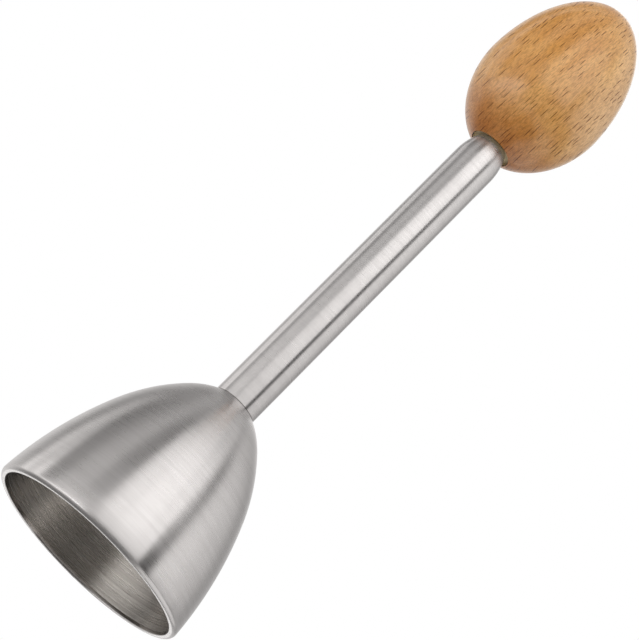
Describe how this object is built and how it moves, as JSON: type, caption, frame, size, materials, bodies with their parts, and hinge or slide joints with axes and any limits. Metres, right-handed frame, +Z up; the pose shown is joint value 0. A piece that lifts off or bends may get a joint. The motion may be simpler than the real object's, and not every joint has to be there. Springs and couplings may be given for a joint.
{
  "type": "egg topper",
  "caption": "Pull-and-release egg topper: a steel bell that fits over an egg, a straight steel tube with a sprung striker inside, and an egg-shaped wooden knob to pull.",
  "frame": {"origin": "centre of the bell's rim plane, where the tool stands mouth down", "axes": "+Z up the common axis of bell, tube and knob, towards the knob's tip; +X and +Y across it"},
  "size_m": [0.0418, 0.0418, 0.1496],
  "materials": {
    "bell_steel": "satin stainless steel, brushed round the axis",
    "tube_steel": "satin stainless steel, ground round the axis",
    "turned_steel": "turned steel",
    "fastener_steel": "bright stainless fastener",
    "spring_steel": "drawn spring wire",
    "rod_steel": "polished stainless steel",
    "bush_plastic": "natural acetal",
    "insert_brass": "turned brass",
    "beech": "clear-lacquered steamed beech"
  },
  "bodies": {
    "casing": {"bell": "bell_steel", "tube": "tube_steel", "anvil_plug": "turned_steel", "bell_screw": "fastener_steel", "lock_washer": "fastener_steel", "guide_bush": "bush_plastic", "upper_washer": "fastener_steel", "spring": "spring_steel"},
    "spring_seat": {"lower_washer": "fastener_steel"},
    "plunger": {"striker": "turned_steel", "pull_rod": "rod_steel", "knob_insert": "insert_brass", "egg_knob": "beech"}
  },
  "joints": [
    {"name": "pull", "type": "slide", "parent": "casing", "child": "spring_seat", "axis": [0, 0, 1], "range_m": [0, 0.018], "stiffness_N_per_m": 900, "springref_m": -0.004, "deforming": ["spring"]},
    {"name": "knob_turn", "type": "hinge", "parent": "spring_seat", "child": "plunger", "pos_m": [0, 0, 0.0631], "axis": [0, 0, 1], "continuous": true}
  ]
}
